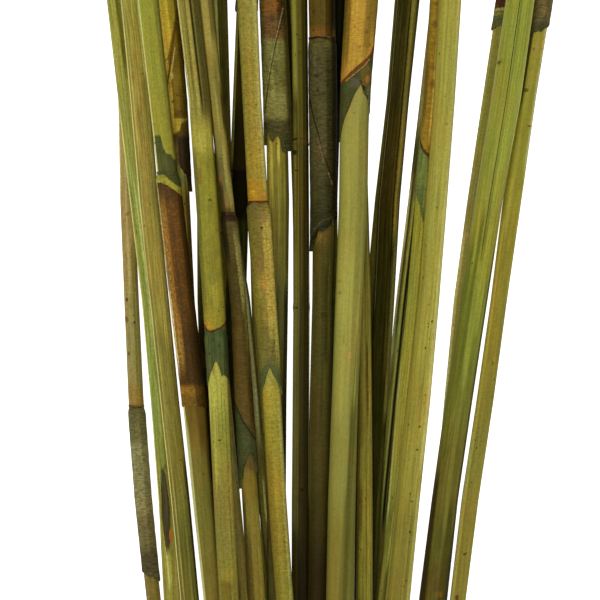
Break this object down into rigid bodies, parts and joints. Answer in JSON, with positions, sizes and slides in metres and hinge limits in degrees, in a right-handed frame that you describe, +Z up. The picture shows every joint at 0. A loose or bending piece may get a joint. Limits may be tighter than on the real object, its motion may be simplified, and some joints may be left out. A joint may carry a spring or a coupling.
{
  "type": "bunch of reeds",
  "caption": "Loose bunch of cut, hollow-ended reed stems lying in a flat fan, with node rings and torn, mottled leaf sheaths.",
  "frame": {"origin": "middle of the bunch's footprint, on the surface that it lies on", "axes": "+Y along the reeds towards the ends that fan out, +X across the fan to the right, +Z up from the surface"},
  "size_m": [0.2408, 0.6, 0.0496],
  "materials": {
    "olive_reed": "satin, with fine lengthwise grain",
    "green_reed": "satin, with fine lengthwise grain",
    "yellow_reed": "satin, mottled",
    "pale_reed": "smooth satin",
    "brown_reed": "dull, mottled dry sheath",
    "dark_reed": "dull"
  },
  "bodies": {
    "root": {"reed_01": "olive_reed", "reed_02": "green_reed", "reed_03": "olive_reed", "reed_04": "brown_reed", "reed_05": "yellow_reed", "reed_06": "dark_reed", "reed_07": "green_reed", "reed_08": "dark_reed", "reed_09": "dark_reed", "reed_10": "olive_reed", "reed_11": "green_reed", "reed_12": "dark_reed", "reed_13": "yellow_reed", "reed_14": "dark_reed", "reed_15": "brown_reed", "reed_16": "dark_reed", "reed_17": "olive_reed", "reed_18": "olive_reed", "reed_19": "dark_reed", "reed_20": "olive_reed", "reed_21": "pale_reed", "reed_22": "dark_reed", "reed_23": "dark_reed", "reed_24": "green_reed", "reed_25": "yellow_reed", "reed_26": "pale_reed", "reed_27": "olive_reed", "reed_28": "green_reed", "reed_29": "olive_reed"}
  },
  "joints": []
}
